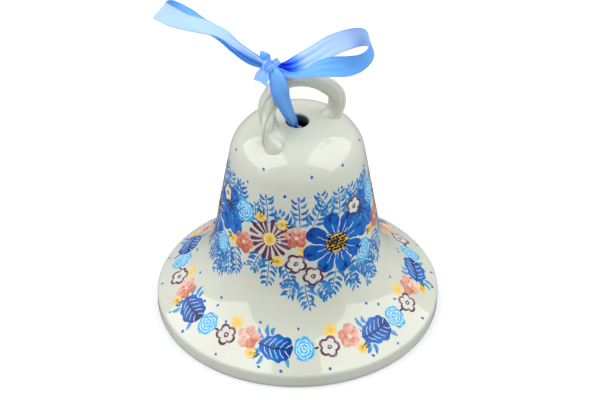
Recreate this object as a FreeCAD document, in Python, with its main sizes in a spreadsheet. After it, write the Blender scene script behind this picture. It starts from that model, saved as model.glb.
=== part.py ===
import FreeCAD, Part
import math
import os

import Sketcher
from FreeCAD import Placement, Rotation, Vector

# A glazed bell with a twisted strap handle and a satin ribbon. The ribbon comes up through the
# crown hole, is knotted round the handle and ends in a hanging loop, a bow loop and a cut tail.
# Inside the bell the same ribbon carries the clapper bead.
# Millimetres and degrees. +Z is up, the origin is the centre of the mouth in the plane of the
# foot, the front is -Y and +X is to the right. Headings are counted from +X towards +Y.

DIMENSIONS = {
    # Bell shell: the corners of the wall's outline, before they are rounded.
    "hole_radius": 5.75,
    "crown_top": 113.3,
    "shoulder_radius": 31.6,
    "shoulder_height": 109.2,
    "flare_radius": 45.0,
    "flare_height": 26.2,
    "rim_radius": 72.5,
    "rim_height": 7.0,
    "foot_radius": 66.0,
    "foot_recess": 4.0,
    "inner_flare_radius": 40.6,
    "inner_flare_height": 21.9,
    "inner_shoulder_radius": 27.2,
    "inner_shoulder_height": 104.2,
    "crown_underside": 107.6,
    # Bell shell: the rounding of those corners.
    "shoulder_round": 21.0,
    "inner_shoulder_round": 16.0,
    "flare_round": 45.0,
    "inner_flare_round": 50.0,
    "rim_round": 2.2,
    "foot_round": 0.9,
    "hole_round": 1.2,
    # Handle: an arch of twisted clay strap, one end smeared down the front of the crown.
    "handle_heading": 25.0,
    "strap_width": 9.4,
    "strap_thickness": 6.4,
    "smear_width": 13.0,
    "smear_thickness": 4.8,
    "strap_turns": 1.0,
    # Ribbon.
    "ribbon_width": 10.5,
    "pinched_width": 5.0,
    "ribbon_thickness": 0.7,
    "knot_length": 5.6,
    "knot_depth": 4.6,
    "knot_height": 5.6,
    "wrap_radius": 6.3,
    "wrap_bore": 5.3,
    "wrap_width": 7.0,
    "loop_clearance": 6.6,
    "hanging_loop_length": 61.0,
    "hanging_loop_opening": 6.4,
    "hanging_loop_heading": 162.0,
    "hanging_loop_rise": 21.6,
    "bow_loop_length": 49.5,
    "bow_loop_opening": 7.0,
    "bow_loop_heading": 7.0,
    "bow_loop_rise": 9.0,
    # Clapper, hung from its pivot just under the crown.
    "pivot_height": 105.0,
    "swivel_top": 112.9,
    "swivel_width": 6.0,
    "swivel_thickness": 2.0,
    "bead_radius": 12.5,
    "bead_height": 41.0,
    "bead_bore": 3.0,
    "cord_width": 4.6,
    "cord_thickness": 1.2,
    "stop_knot_radius": 4.4,
    "stop_knot_height": 3.0,
    "tail_width": 5.0,
    "tail_length": 13.0,
    "tail_spread": 16.0,
}

KNOT = Vector(-13.5, -2.5, 146.5)  # the knot's centre, on the handle's left shoulder
LOOP_TILT = 37.5  # how far the ribbon loops' open sides tip down towards the back
GAP = 0.3  # clearance between soft pieces of different bodies

doc = FreeCAD.newDocument("bell")
sheet = doc.addObject("Spreadsheet::Sheet", "Sizes")
for row, (alias, number) in enumerate(DIMENSIONS.items(), start=1):
    sheet.set(f"A{row}", alias)
    sheet.set(f"B{row}", str(number))
    sheet.setAlias(f"B{row}", alias)
doc.recompute()


def size(alias):
    """A driving dimension, read from the sheet."""
    return float(sheet.get(alias))


def bind(target, **aliases):
    """Ties properties of an object to formulas over the sheet."""
    for name, formula in aliases.items():
        target.setExpression(name, formula)
    return target


def unit(vector):
    return Vector(vector).normalize()


def heading_vector(heading, rise=0.0):
    """The unit vector at this heading, lifted by this angle."""
    turn, lift = math.radians(heading), math.radians(rise)
    return Vector(math.cos(turn) * math.cos(lift), math.sin(turn) * math.cos(lift), math.sin(lift))


def skin(stations):
    """A closed solid over elliptical sections. A station is a centre and the section's two half-axes."""
    corners = 24
    rings = []
    for centre, wide, thin in stations:
        turns = [2 * math.pi * corner / corners for corner in range(corners)]
        ring = [centre + wide * math.cos(turn) + thin * math.sin(turn) for turn in turns]
        rings.append(ring + ring[:1])
    surface = Part.BSplineSurface()
    surface.interpolate(rings)
    side = surface.toShape()
    ends = [edge for edge in side.Edges if edge.firstVertex().Point.isEqual(edge.lastVertex().Point, 1e-6)]
    shell = Part.Shell([side] + [Part.Face(Part.Wire([edge])) for edge in ends])
    shell.sewShape()
    return Part.Solid(shell)


def solid_feature(name, shape):
    """Holds a shape made with Part's own functions, for a form that no single feature makes."""
    feature = doc.addObject("Part::Feature", name)
    feature.Shape = shape
    feature.Placement = Placement()
    return feature


def cut_from(label, base, tool):
    """What is left of the base outside the tool."""
    cut = doc.addObject("Part::Cut", label + "_cut")
    cut.Label = label
    cut.Base = base
    cut.Tool = tool
    return cut


# ------------------------------------------------------------------ bell shell

WALL_CORNERS = [
    ("hole_radius", "crown_top"),
    ("shoulder_radius", "shoulder_height"),
    ("flare_radius", "flare_height"),
    ("rim_radius", "rim_height"),
    ("rim_radius", None),
    ("foot_radius", None),
    ("foot_radius", "foot_recess"),
    ("inner_flare_radius", "inner_flare_height"),
    ("inner_shoulder_radius", "inner_shoulder_height"),
    ("hole_radius", "crown_underside"),
]

WALL_ROUNDS = [
    ("shoulder_round", [("shoulder_radius", "shoulder_height")]),
    ("inner_shoulder_round", [("inner_shoulder_radius", "inner_shoulder_height")]),
    ("flare_round", [("flare_radius", "flare_height")]),
    ("inner_flare_round", [("inner_flare_radius", "inner_flare_height")]),
    ("rim_round", [("rim_radius", "rim_height")]),
    ("foot_round", [("rim_radius", None), ("foot_radius", None)]),
    ("hole_round", [("hole_radius", "crown_top"), ("hole_radius", "crown_underside")]),
]


def height_of(alias):
    """A corner's height; a corner with no alias stands in the plane of the foot."""
    return size(alias) if alias else 0.0


def wall_sketch(body):
    """The wall's closed outline in the XZ plane, every corner held by two cells of the sheet."""
    sketch = body.newObject("Sketcher::SketchObject", "WallOutline")
    plane = next(item for item in body.Origin.OriginFeatures if item.Role == "XZ_Plane")
    sketch.AttachmentSupport = [(plane, "")]
    sketch.MapMode = "FlatFace"
    points = [Vector(size(across), height_of(up), 0) for across, up in WALL_CORNERS]
    for start, end in zip(points, points[1:] + points[:1]):
        sketch.addGeometry(Part.LineSegment(start, end))
    for line in range(len(points)):
        following = (line + 1) % len(points)
        sketch.addConstraint(Sketcher.Constraint("Coincident", line, 2, following, 1))
    for line, (across, up) in enumerate(WALL_CORNERS):
        place = sketch.addConstraint(Sketcher.Constraint("DistanceX", -1, 1, line, 1, points[line].x))
        sketch.setExpression(f"Constraints[{place}]", f"Sizes.{across}")
        if up is None:
            sketch.addConstraint(Sketcher.Constraint("PointOnObject", line, 1, -1))
        else:
            place = sketch.addConstraint(
                Sketcher.Constraint("DistanceY", -1, 1, line, 1, points[line].y)
            )
            sketch.setExpression(f"Constraints[{place}]", f"Sizes.{up}")
    return sketch


def ring_edge(shape, radius, height):
    """The name of the circular edge nearest to this radius and height."""

    def distance(index):
        curve = shape.Edges[index].Curve
        if not isinstance(curve, Part.Circle):
            return math.inf
        return math.hypot(curve.Radius - radius, curve.Center.z - height)

    return f"Edge{min(range(len(shape.Edges)), key=distance) + 1}"


def make_shell():
    """The hollow bell: one revolved wall, open at the mouth, with a hole through the crown."""
    body = doc.addObject("PartDesign::Body", "ShellBody")
    body.Label = "bell_shell"
    sketch = wall_sketch(body)
    feature = body.newObject("PartDesign::Revolution", "Wall")
    feature.Profile = sketch
    feature.ReferenceAxis = (sketch, ["V_Axis"])
    feature.Angle = 360
    doc.recompute()
    for alias, corners in WALL_ROUNDS:
        edges = [ring_edge(feature.Shape, size(across), height_of(up)) for across, up in corners]
        fillet = body.newObject("PartDesign::Fillet", alias)
        fillet.Base = (feature, edges)
        bind(fillet, Radius=f"Sizes.{alias}")
        doc.recompute()
        feature = fillet
    body.Tip = feature
    doc.recompute()
    return body


# ---------------------------------------------------------------------- handle

ARCH = [
    # (across, height) in the arch's own upright plane, from the right foot over the top
    (17.4, 108.4),
    (20.6, 113.5),
    (21.9, 119.0),
    (20.0, 125.0),
    (13.5, 131.6),
    (4.5, 136.8),
    (-4.5, 138.6),
    (-11.0, 136.0),
    (-14.9, 130.2),
    (-16.6, 123.5),
]
SMEAR = [Vector(-14.7, -8.4, 117.0), Vector(-12.8, -11.2, 112.6), Vector(-10.2, -15.2, 110.3)]
SMEAR_STARTS = 0.78  # how far along the strap its end begins to flatten


def handle_curve():
    """The strap's centreline, with its parameters at the points that shape it."""
    level = heading_vector(size("handle_heading"))
    points = [level * across + Vector(0, 0, height) for across, height in ARCH] + SMEAR
    curve = Part.BSplineCurve()
    curve.interpolate(points)
    return curve, [curve.parameter(point) for point in points]


def strap_stations(curve, parameters):
    """Half-axes of the strap's section along its length. It turns steadily, and lands flat on the crown."""
    tangents = [unit(curve.tangent(parameter)[0]) for parameter in parameters]
    side = heading_vector(size("handle_heading") + 90)
    sides = []
    for tangent in tangents:
        side = unit(side - tangent * side.dot(tangent))
        sides.append(side)
    flat = unit(tangents[-1].cross(Vector(0, 0, 1)))
    landing = math.degrees(math.atan2(flat.dot(tangents[-1].cross(side)), flat.dot(side)))
    whole_turn = landing + 360 * size("strap_turns")
    stations = []
    for step, (parameter, tangent, side) in enumerate(zip(parameters, tangents, sides)):
        share = step / (len(parameters) - 1)
        flattened = max(0.0, share - SMEAR_STARTS) / (1 - SMEAR_STARTS)
        width = size("strap_width") + flattened * (size("smear_width") - size("strap_width"))
        thickness = size("strap_thickness") + flattened * (
            size("smear_thickness") - size("strap_thickness")
        )
        wide = Rotation(tangent, share * whole_turn).multVec(side)
        thin = tangent.cross(wide)
        stations.append((curve.value(parameter), wide * (width / 2), thin * (thickness / 2)))
    return stations


def make_handle(shell):
    """The twisted strap, ending where it stands on the crown."""
    strap = skin(strap_stations(*handle_curve()))
    return cut_from("bell_handle", solid_feature("Strap", strap), shell)


# ---------------------------------------------------------------------- ribbon


def band(centres, sides, widths):
    """A strip of ribbon through these centres. Each side is the strip's direction across."""
    curve = Part.BSplineCurve()
    curve.interpolate(centres)
    half_thickness = size("ribbon_thickness") / 2
    stations = []
    for centre, side, width in zip(centres, sides, widths):
        tangent = unit(curve.tangent(curve.parameter(centre))[0])
        across = unit(side - tangent * side.dot(tangent))
        stations.append((centre, across * (width / 2), tangent.cross(across) * half_thickness))
    return skin(stations)


def make_loop(label, lift):
    """A ribbon loop that leaves the knot, turns round at its tip and comes back.

    lift is how far its two layers stand apart across the ribbon, beside its opening.
    """
    length = size(f"{label}_length")
    opening = size(f"{label}_opening")
    out = heading_vector(size(f"{label}_heading"), size(f"{label}_rise"))
    tilt = math.radians(LOOP_TILT)
    deep = Vector(0, math.cos(tilt), -math.sin(tilt))
    deep = unit(deep - out * deep.dot(out))
    side = out.cross(deep)
    if side.z < 0:
        side = side * -1
    steps = 16
    widest_spread = 0.77  # the largest value of sin(2 pi s) sin(pi s)
    first = math.asin(math.sqrt(size("loop_clearance") / length)) / math.pi
    centres, widths = [], []
    for step in range(steps + 1):
        share = first + (1 - 2 * first) * step / steps
        away = math.sin(math.pi * share)
        spread = math.sin(2 * math.pi * share) * away / widest_spread
        offset = deep * (-opening * spread) + side * (-lift * spread)
        centres.append(KNOT + out * (length * away**2) + offset)
        fullness = min(1.0, 1.4 * away**2)
        widths.append(size("pinched_width") + fullness * (size("ribbon_width") - size("pinched_width")))
    loop = solid_feature(label.title().replace("_", ""), band(centres, [side] * len(centres), widths))
    loop.Label = label
    return loop


def rod(name, radius, length, centre, direction):
    """A cylinder whose middle stands at this centre. Its radius and length are aliases."""
    cylinder = doc.addObject("Part::Cylinder", name)
    bind(cylinder, Radius=f"Sizes.{radius}", Height=f"Sizes.{length}")
    base = centre - direction * (size(length) / 2)
    cylinder.Placement = Placement(base, Rotation(Vector(0, 0, 1), direction))
    return cylinder


def make_knot():
    """The knot, and the turn of ribbon under it that goes round the handle."""
    ball = doc.addObject("Part::Ellipsoid", "KnotBall")
    bind(ball, Radius1="Sizes.knot_height", Radius2="Sizes.knot_length", Radius3="Sizes.knot_depth")
    ball.Placement = Placement(KNOT, Rotation())
    curve, _ = handle_curve()
    nearest = curve.parameter(KNOT)
    along = unit(curve.tangent(nearest)[0])
    turn = cut_from(
        "Turn",
        rod("TurnOutside", "wrap_radius", "wrap_width", curve.value(nearest), along),
        rod("TurnInside", "wrap_bore", "wrap_width", curve.value(nearest), along),
    )
    knot = doc.addObject("Part::Fuse", "TiedRibbon")
    knot.Base = ball
    knot.Tool = turn
    knot.Label = "ribbon_knot"
    return knot


def make_strand():
    """The ribbon from the knot's front down to the lip of the crown hole."""
    offsets = [
        Vector(3.6, -6.6, -3.6),
        Vector(5.0, -10.0, -11.3),
        Vector(8.0, -6.4, -22.9),
        Vector(11.2, -1.4, -31.8),
    ]
    sides = [Vector(1, 0, 0), Vector(1, 0, 0), Vector(0.95, -0.3, 0), Vector(0.8, -0.6, 0)]
    widths = [7.0, 8.4, 6.4, 4.0]
    strand = solid_feature("Strand", band([KNOT + offset for offset in offsets], sides, widths))
    strand.Label = "ribbon_strand"
    return strand


def make_tail():
    """The short cut end that hangs at the knot's lower left."""
    offsets = [Vector(-5.0, -4.6, -3.6), Vector(-6.2, -6.2, -6.4), Vector(-6.8, -7.0, -9.4)]
    side = Vector(0.88, -0.29, -0.38)
    tail = solid_feature("Tail", band([KNOT + offset for offset in offsets], [side] * 3, [5.0, 6.4, 7.0]))
    tail.Label = "ribbon_tail"
    return tail


# --------------------------------------------------------------------- clapper


def upright_strip(name, width, thickness, bottom, top):
    """A folded strip of ribbon that hangs on the bell's axis. All four are formulas."""
    strip = doc.addObject("Part::Box", name)
    bind(
        strip,
        **{
            "Length": width,
            "Width": thickness,
            "Height": f"{top} - ({bottom})",
            "Placement.Base.x": f"-({width}) / 2",
            "Placement.Base.y": f"-({thickness}) / 2",
            "Placement.Base.z": bottom,
        },
    )
    return strip


def make_swivel():
    """The ribbon where it passes through the crown hole."""
    strip = upright_strip(
        "Swivel",
        "Sizes.swivel_width",
        "Sizes.swivel_thickness",
        f"Sizes.pivot_height + {GAP}",
        "Sizes.swivel_top",
    )
    strip.Label = "clapper_swivel"
    return strip


def make_cord():
    """The ribbon from the pivot down through the bead to the knot under it."""
    strip = upright_strip(
        "Cord",
        "Sizes.cord_width",
        "Sizes.cord_thickness",
        "Sizes.bead_height - Sizes.bead_radius",
        "Sizes.pivot_height - 0.2",
    )
    strip.Label = "clapper_ribbon"
    return strip


def make_bead():
    """The round ceramic bead, bored for the ribbon."""
    ball = doc.addObject("Part::Sphere", "BeadBall")
    bind(ball, **{"Radius": "Sizes.bead_radius", "Placement.Base.z": "Sizes.bead_height"})
    bore = doc.addObject("Part::Cylinder", "BeadBore")
    bind(
        bore,
        **{
            "Radius": "Sizes.bead_bore",
            "Height": "2 * Sizes.bead_radius",
            "Placement.Base.z": "Sizes.bead_height - Sizes.bead_radius",
        },
    )
    return cut_from("clapper_ball", ball, bore)


STOP_KNOT_CENTRE = "(Sizes.bead_height - Sizes.bead_radius - Sizes.stop_knot_height)"


def make_stop_knot():
    """The knot that the bead rests on."""
    knot = doc.addObject("Part::Ellipsoid", "StopKnot")
    bind(
        knot,
        **{
            "Radius1": "Sizes.stop_knot_height",
            "Radius2": "Sizes.stop_knot_radius",
            "Radius3": "Sizes.stop_knot_radius",
            "Placement.Base.z": STOP_KNOT_CENTRE,
        },
    )
    knot.Label = "clapper_stop_knot"
    return knot


def make_clapper_tails():
    """The two cut ribbon ends that spread below the stop knot."""
    doc.recompute()
    ends = []
    for name, lean in (("LeftEnd", 1), ("RightEnd", -1)):
        end = doc.addObject("Part::Box", name)
        bind(end, Length="Sizes.tail_width", Width="Sizes.cord_thickness", Height="Sizes.tail_length")
        rotation = Rotation(Vector(0, 1, 0), 180 + lean * size("tail_spread"))
        middle = Vector(size("tail_width") / 2, size("cord_thickness") / 2, 0)
        top = Vector(0, 0, size("bead_height") - size("bead_radius") - 2 * size("stop_knot_height") - GAP)
        end.Placement = Placement(top - rotation.multVec(middle), rotation)
        ends.append(end)
    tails = doc.addObject("Part::Fuse", "TailEnds")
    tails.Base, tails.Tool = ends
    tails.Label = "clapper_tails"
    return tails


# ----------------------------------------------------------------------- build

shell = make_shell()
handle = make_handle(shell)
subparts = [
    shell,
    handle,
    make_knot(),
    make_strand(),
    make_loop("hanging_loop", 0.0),
    make_loop("bow_loop", 5.6),
    make_tail(),
    make_swivel(),
    make_cord(),
    make_bead(),
    make_stop_knot(),
    make_clapper_tails(),
]
doc.recompute()

for item in doc.Objects:
    if "Invalid" in item.State or "Error" in item.State:
        raise RuntimeError(f"{item.Name} did not rebuild: {item.State}")
for subpart in subparts:
    if subpart.Shape.isNull() or not subpart.Shape.isValid():
        raise RuntimeError(f"{subpart.Label} has no valid shape")

os.makedirs("parts", exist_ok=True)
for subpart in subparts:
    subpart.Shape.exportStep(f"parts/{subpart.Label}.step")
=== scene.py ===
import bisect
import math
import random

import bpy
from mathutils import Matrix, Vector, noise
from mathutils.geometry import delaunay_2d_cdt


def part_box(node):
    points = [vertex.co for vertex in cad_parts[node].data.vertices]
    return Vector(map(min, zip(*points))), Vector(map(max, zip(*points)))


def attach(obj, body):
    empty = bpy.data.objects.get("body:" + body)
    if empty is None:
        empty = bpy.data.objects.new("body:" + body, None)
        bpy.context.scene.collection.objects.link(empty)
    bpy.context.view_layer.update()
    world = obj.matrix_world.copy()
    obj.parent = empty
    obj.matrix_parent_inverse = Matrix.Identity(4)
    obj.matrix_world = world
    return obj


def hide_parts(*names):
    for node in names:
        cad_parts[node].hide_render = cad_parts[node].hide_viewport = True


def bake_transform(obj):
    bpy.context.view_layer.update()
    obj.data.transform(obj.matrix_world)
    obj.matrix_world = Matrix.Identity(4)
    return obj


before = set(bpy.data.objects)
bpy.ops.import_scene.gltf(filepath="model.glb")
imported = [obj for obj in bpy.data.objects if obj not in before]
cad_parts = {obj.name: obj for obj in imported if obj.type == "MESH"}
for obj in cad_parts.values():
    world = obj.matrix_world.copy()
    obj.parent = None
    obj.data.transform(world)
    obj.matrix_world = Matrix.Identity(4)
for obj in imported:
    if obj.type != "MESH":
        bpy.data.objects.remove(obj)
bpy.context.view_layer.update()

# The looks of a glazed bell with a twisted strap handle, folk flowers painted under the glaze
# and a satin ribbon. Shapes are worked out in millimetres, in the row's own frame, and turned
# to metres when a mesh is made. Colours are given as three 8-bit screen values.

MM = 0.001
UP = Vector((0, 0, 1))
rng = random.Random(7)
noise.seed_set(7)  # unseeded, noise_vector changes from run to run


# ---- small helpers


def unit(vector):
    return vector.normalized()


def smooth(low, high, value):
    """0 at low, 1 at high and an even blend between."""
    share = min(1.0, max(0.0, (value - low) / (high - low)))
    return share * share * (3 - 2 * share)


def mix(start, end, share):
    return start + (end - start) * share


def turns(count):
    """The angles that divide a full circle into this many parts."""
    return [2 * math.pi * step / count for step in range(count)]


def polar(radius, turn):
    return Vector((radius * math.cos(turn), radius * math.sin(turn)))


def upright(radius, turn, height):
    """A point at this radius and turn round the bell's axis, and at this height."""
    return Vector((radius * math.cos(turn), radius * math.sin(turn), height))


def heading(degrees, rise=0.0):
    """A unit vector at this heading from +X towards +Y, lifted by this angle."""
    turn, lift = math.radians(degrees), math.radians(rise)
    return Vector((math.cos(turn) * math.cos(lift), math.sin(turn) * math.cos(lift), math.sin(lift)))


def spline(points, share):
    """A point of the smooth curve through these points, at this share of the way along them."""
    last = len(points) - 1
    place = min(max(share, 0.0), 1.0) * last
    step = min(int(place), last - 1)
    t = place - step
    before = points[max(step - 1, 0)]
    start, end = points[step], points[step + 1]
    after = points[min(step + 2, last)]
    return 0.5 * (
        2 * start
        + (end - before) * t
        + (2 * before - 5 * start + 4 * end - after) * t * t
        + (3 * start - before - 3 * end + after) * t * t * t
    )


def add_object(name, data):
    made = bpy.data.objects.new(name, data)
    bpy.context.scene.collection.objects.link(made)
    return made


def make_piece(name, points, faces, material, body, slot, node=None, **attributes):
    """A smooth mesh piece from points in millimetres.

    It rides on a CAD body and can stand for a CAD node; the slot it is given is not used. A piece
    with None for its body is left unattached. Each attribute is a list with a value per point.
    """
    mesh = bpy.data.meshes.new(name)
    mesh.from_pydata([Vector(point) * MM for point in points], [], faces)
    mesh.polygons.foreach_set("use_smooth", [True] * len(mesh.polygons))
    for label, values in attributes.items():
        layer = mesh.attributes.new(label, "FLOAT", "POINT")
        layer.data.foreach_set("value", values)
    mesh.validate()
    mesh.update()
    piece = add_object(name, mesh)
    mesh.materials.append(material)
    if body:
        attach(piece, body)
    if node:
        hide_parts(node)
    return piece


def ring_faces(rings, around, closed=False):
    """Quads over rings of points. A closed set joins up its two ends, and an open one is capped."""
    faces = []
    for ring in range(rings if closed else rings - 1):
        low, high = ring * around, (ring + 1) % rings * around
        for step in range(around):
            following = (step + 1) % around
            faces.append((low + step, low + following, high + following, high + step))
    if not closed:
        faces.append(tuple(range(around - 1, -1, -1)))
        faces.append(tuple((rings - 1) * around + step for step in range(around)))
    return faces


# ---- materials

BLACK = (0, 0, 0)
WHITE = (255, 255, 255)


def linear(colour):
    """The linear colour, with full alpha, that a shader needs for three 8-bit screen values."""
    parts = []
    for value in colour:
        value = value / 255
        parts.append(value / 12.92 if value <= 0.04045 else ((value + 0.055) / 1.055) ** 2.4)
    return (*parts, 1.0)


class Nodes:
    """A node tree being built. Sockets and plain values can both feed an input."""

    def __init__(self, tree):
        self.tree = tree

    def node(self, kind, settings=None, **inputs):
        made = self.tree.nodes.new(kind)
        for key, value in (settings or {}).items():
            setattr(made, key, value)
        for key, value in inputs.items():
            self.feed(made.inputs[key.replace("_", " ")], value)
        return made

    def feed(self, socket, value):
        if isinstance(value, bpy.types.NodeSocket):
            self.tree.links.new(value, socket)
        elif isinstance(value, tuple):
            socket.default_value = linear(value)
        else:
            socket.default_value = value

    def maths(self, operation, first, second=0.0, third=0.0):
        made = self.node("ShaderNodeMath", {"operation": operation})
        for socket, value in zip(made.inputs, (first, second, third)):
            self.feed(socket, value)
        return made.outputs[0]

    def light_path(self, question):
        """1 where the ray is of this kind and 0 where it is not."""
        return self.node("ShaderNodeLightPath").outputs[question]


class Shader(Nodes):
    """A material being built."""

    def __init__(self, name):
        self.material = bpy.data.materials.new(name)
        self.material.use_nodes = True
        super().__init__(self.material.node_tree)
        self.surface = self.tree.nodes["Principled BSDF"]

    def set(self, **inputs):
        for key, value in inputs.items():
            self.feed(self.surface.inputs[key.replace("_", " ")], value)

    def place(self):
        """Object coordinates: metres in the row's frame, the same on every piece."""
        return self.node("ShaderNodeTexCoord").outputs["Object"]

    def value(self, label):
        """A number that the mesh carries at each point."""
        return self.node("ShaderNodeAttribute", {"attribute_name": label}).outputs["Fac"]

    def noise(self, scale, detail=2.0, roughness=0.5, vector=None):
        made = self.node("ShaderNodeTexNoise", Scale=scale, Detail=detail, Roughness=roughness)
        self.feed(made.inputs["Vector"], vector or self.place())
        return made.outputs["Fac"]

    def ramp(self, share, *stops):
        """Colours along a share. A stop is a position and a colour."""
        made = self.node("ShaderNodeValToRGB", Fac=share)
        elements = made.color_ramp.elements
        while len(elements) < len(stops):
            elements.new(0.5)
        for element, (position, colour) in zip(elements, stops):
            element.position = position
            element.color = linear(colour)
        return made.outputs["Color"]

    def lay(self, colour, over, share, strength=1.0):
        """A colour laid over another by a share. strength is how much of it shows at a full share."""
        if strength != 1:
            share = self.maths("MULTIPLY", share, strength)
        made = self.node("ShaderNodeMix", {"data_type": "RGBA"})
        colours = [socket for socket in made.inputs if socket.type == "RGBA"]
        self.feed(made.inputs[0], share)
        self.feed(colours[0], over)
        self.feed(colours[1], colour)
        return next(socket for socket in made.outputs if socket.type == "RGBA")

    def bump(self, height, distance, normal=None):
        made = self.node("ShaderNodeBump", Height=height, Distance=distance, Strength=1.0)
        if normal:
            self.feed(made.inputs["Normal"], normal)
        return made.outputs["Normal"]


def glaze_over(shader, coat=1.0, index=1.6):
    """The clear glaze: a glossy coat, barely uneven, with this refractive index."""
    waves = shader.noise(55.0, detail=1.0)
    peel = shader.noise(420.0, detail=1.0)
    uneven = shader.bump(waves, 0.00012, shader.bump(peel, 0.000012))
    shader.set(
        Roughness=0.4,
        Specular_IOR_Level=0.1,
        Normal=uneven,
        Coat_Weight=coat,
        Coat_Roughness=0.04,
        Coat_IOR=index,
        Coat_Normal=uneven,
    )


def glaze_material():
    """Warm grey-white glaze: softly clouded, with a few iron specks, deeper where a groove holds it, and
    painted shade down the crown hole.
    """
    shader = Shader("glaze")
    cloud = shader.noise(28.0, detail=3.0)
    colour = shader.ramp(cloud, (0.32, (206, 209, 195)), (0.72, (198, 201, 185)))
    speck = shader.ramp(shader.noise(650.0, detail=1.0), (0.80, BLACK), (0.83, WHITE))
    colour = shader.lay((120, 96, 70), colour, speck, 0.35)
    colour = shader.lay((150, 158, 138), colour, shader.value("groove"), 0.75)
    # painted shade: dark blue laid inside the crown hole, standing for its shadow and the ribbon's blue
    # reflection
    colour = shader.lay((32, 48, 88), colour, shader.value("hollow"), 0.9)
    shader.set(Base_Color=colour)
    glaze_over(shader)
    return shader.material


def paint_material(name, light, body, dark):
    """Brushed colour under the glaze. Each stroke carries a tone from 0 (light) to 1 (dark)."""
    shader = Shader(name)
    wash = shader.noise(240.0, detail=4.0, roughness=0.65)
    bristle = shader.noise(900.0, detail=2.0)
    tone = shader.maths("ADD", shader.value("tone"), shader.maths("MULTIPLY_ADD", wash, 0.9, -0.45))
    tone = shader.maths("ADD", tone, shader.maths("MULTIPLY_ADD", bristle, 0.24, -0.12))
    shader.set(Base_Color=shader.ramp(tone, (0.0, light), (0.5, body), (1.0, dark)))
    glaze_over(shader, coat=0.6, index=1.38)
    return shader.material


def satin_material():
    """Satin ribbon: fine diagonal twill, a soft sheen, brighter highlights, a firm woven edge and painted
    shade in deeper blues.
    """
    shader = Shader("satin_ribbon")
    across, along = shader.value("across"), shader.value("along")
    thread = 2 * math.pi / 0.42  # one twill rib every 0.42 mm
    slope = shader.maths("ADD", shader.maths("MULTIPLY", across, 0.8), along)
    rib = shader.maths("SINE", shader.maths("MULTIPLY", slope, thread))
    edge = shader.maths("GREATER_THAN", shader.maths("ABSOLUTE", across), 4.75)
    streak = shader.node("ShaderNodeCombineXYZ", X=across, Y=shader.maths("MULTIPLY", along, 0.06))
    fibre = shader.noise(2.6, detail=3.0, roughness=0.6, vector=streak.outputs[0])
    # painted light: a lit blue, and a deeper saturated blue that is painted shade on faces and folds out
    # of the light
    lit_blue = shader.ramp(fibre, (0.25, (154, 190, 240)), (0.75, (168, 201, 247)))
    shaded_blue = shader.ramp(fibre, (0.25, (36, 148, 246)), (0.75, (64, 166, 252)))
    colour = shader.lay(shaded_blue, lit_blue, shader.value("shaded_blue"))
    colour = shader.lay((60, 130, 235), colour, edge, 0.35)
    colour = shader.lay((190, 222, 255), colour, shader.maths("MULTIPLY_ADD", rib, 0.06, 0.06))
    # painted shade: inside the bow loop the blue darkens towards the knot, deepest right beside it
    pocket_shade = shader.maths("MULTIPLY", shader.value("pocket_shade"), 2.0)
    colour = shader.lay((60, 142, 250), colour, shader.maths("MINIMUM", pocket_shade, 1.0))
    deepest_shade = shader.maths("MAXIMUM", shader.maths("ADD", pocket_shade, -1.0), 0.0)
    colour = shader.lay((0, 50, 226), colour, deepest_shade)
    height = shader.maths("ADD", shader.maths("MULTIPLY", rib, 0.5), shader.maths("MULTIPLY", edge, 1.5))
    shader.set(
        Base_Color=colour,
        Roughness=0.42,
        Sheen_Weight=0.18,
        Sheen_Roughness=0.3,
        Sheen_Tint=(205, 228, 255),
        Specular_IOR_Level=0.55,
        Normal=shader.bump(height, 0.00003),
    )
    return shader.material


def clay_material():
    """Unglazed fired clay, as on the foot ring."""
    shader = Shader("bare_clay")
    grit = shader.noise(1500.0, detail=4.0, roughness=0.7)
    colour = shader.ramp(grit, (0.3, (205, 192, 172)), (0.7, (228, 218, 201)))
    shader.set(Base_Color=colour, Roughness=0.85, Normal=shader.bump(grit, 0.00006))
    return shader.material


# ---- bell wall


class Outline:
    """A rounded outline in the plane of radius and height, walked by its length in millimetres."""

    STEP = 0.5

    def __init__(self, corners):
        """A corner is a radius, a height and how far it is rounded."""
        self.points = []
        for index, (radius, height, rounding) in enumerate(corners):
            corner = Vector((radius, height))
            if rounding == 0 or index in (0, len(corners) - 1):
                self.points.append(corner)
                continue
            before = unit(Vector(corners[index - 1][:2]) - corner)
            after = unit(Vector(corners[index + 1][:2]) - corner)
            half = before.angle(after) / 2
            reach = rounding / math.tan(half)
            centre = corner + unit(before + after) * (rounding / math.sin(half))
            start, end = corner + before * reach, corner + after * reach
            turn = (start - centre).angle_signed(end - centre)
            steps = max(4, int(rounding * abs(turn) / self.STEP))
            for step in range(steps + 1):
                spin = Matrix.Rotation(-turn * step / steps, 2)
                self.points.append(centre + spin @ (start - centre))
        self.lengths = [0.0]
        for start, end in zip(self.points, self.points[1:]):
            self.lengths.append(self.lengths[-1] + (end - start).length)

    def at(self, length):
        """The point at this length, and the direction of travel there."""
        length = min(max(length, 0.0), self.lengths[-1])
        high = bisect.bisect_right(self.lengths, length, hi=len(self.lengths) - 1)
        start, end = self.points[high - 1], self.points[high]
        before, after = self.lengths[high - 1], self.lengths[high]
        return start.lerp(end, (length - before) / max(1e-9, after - before)), unit(end - start)

    def length_at_height(self, height):
        """Where the outline, walked downwards, first reaches this height."""
        for index, point in enumerate(self.points[1:], start=1):
            above = self.points[index - 1]
            if point.y <= height <= above.y:
                share = (above.y - height) / max(1e-9, above.y - point.y)
                return mix(self.lengths[index - 1], self.lengths[index], share)
        return self.lengths[-1]


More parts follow.
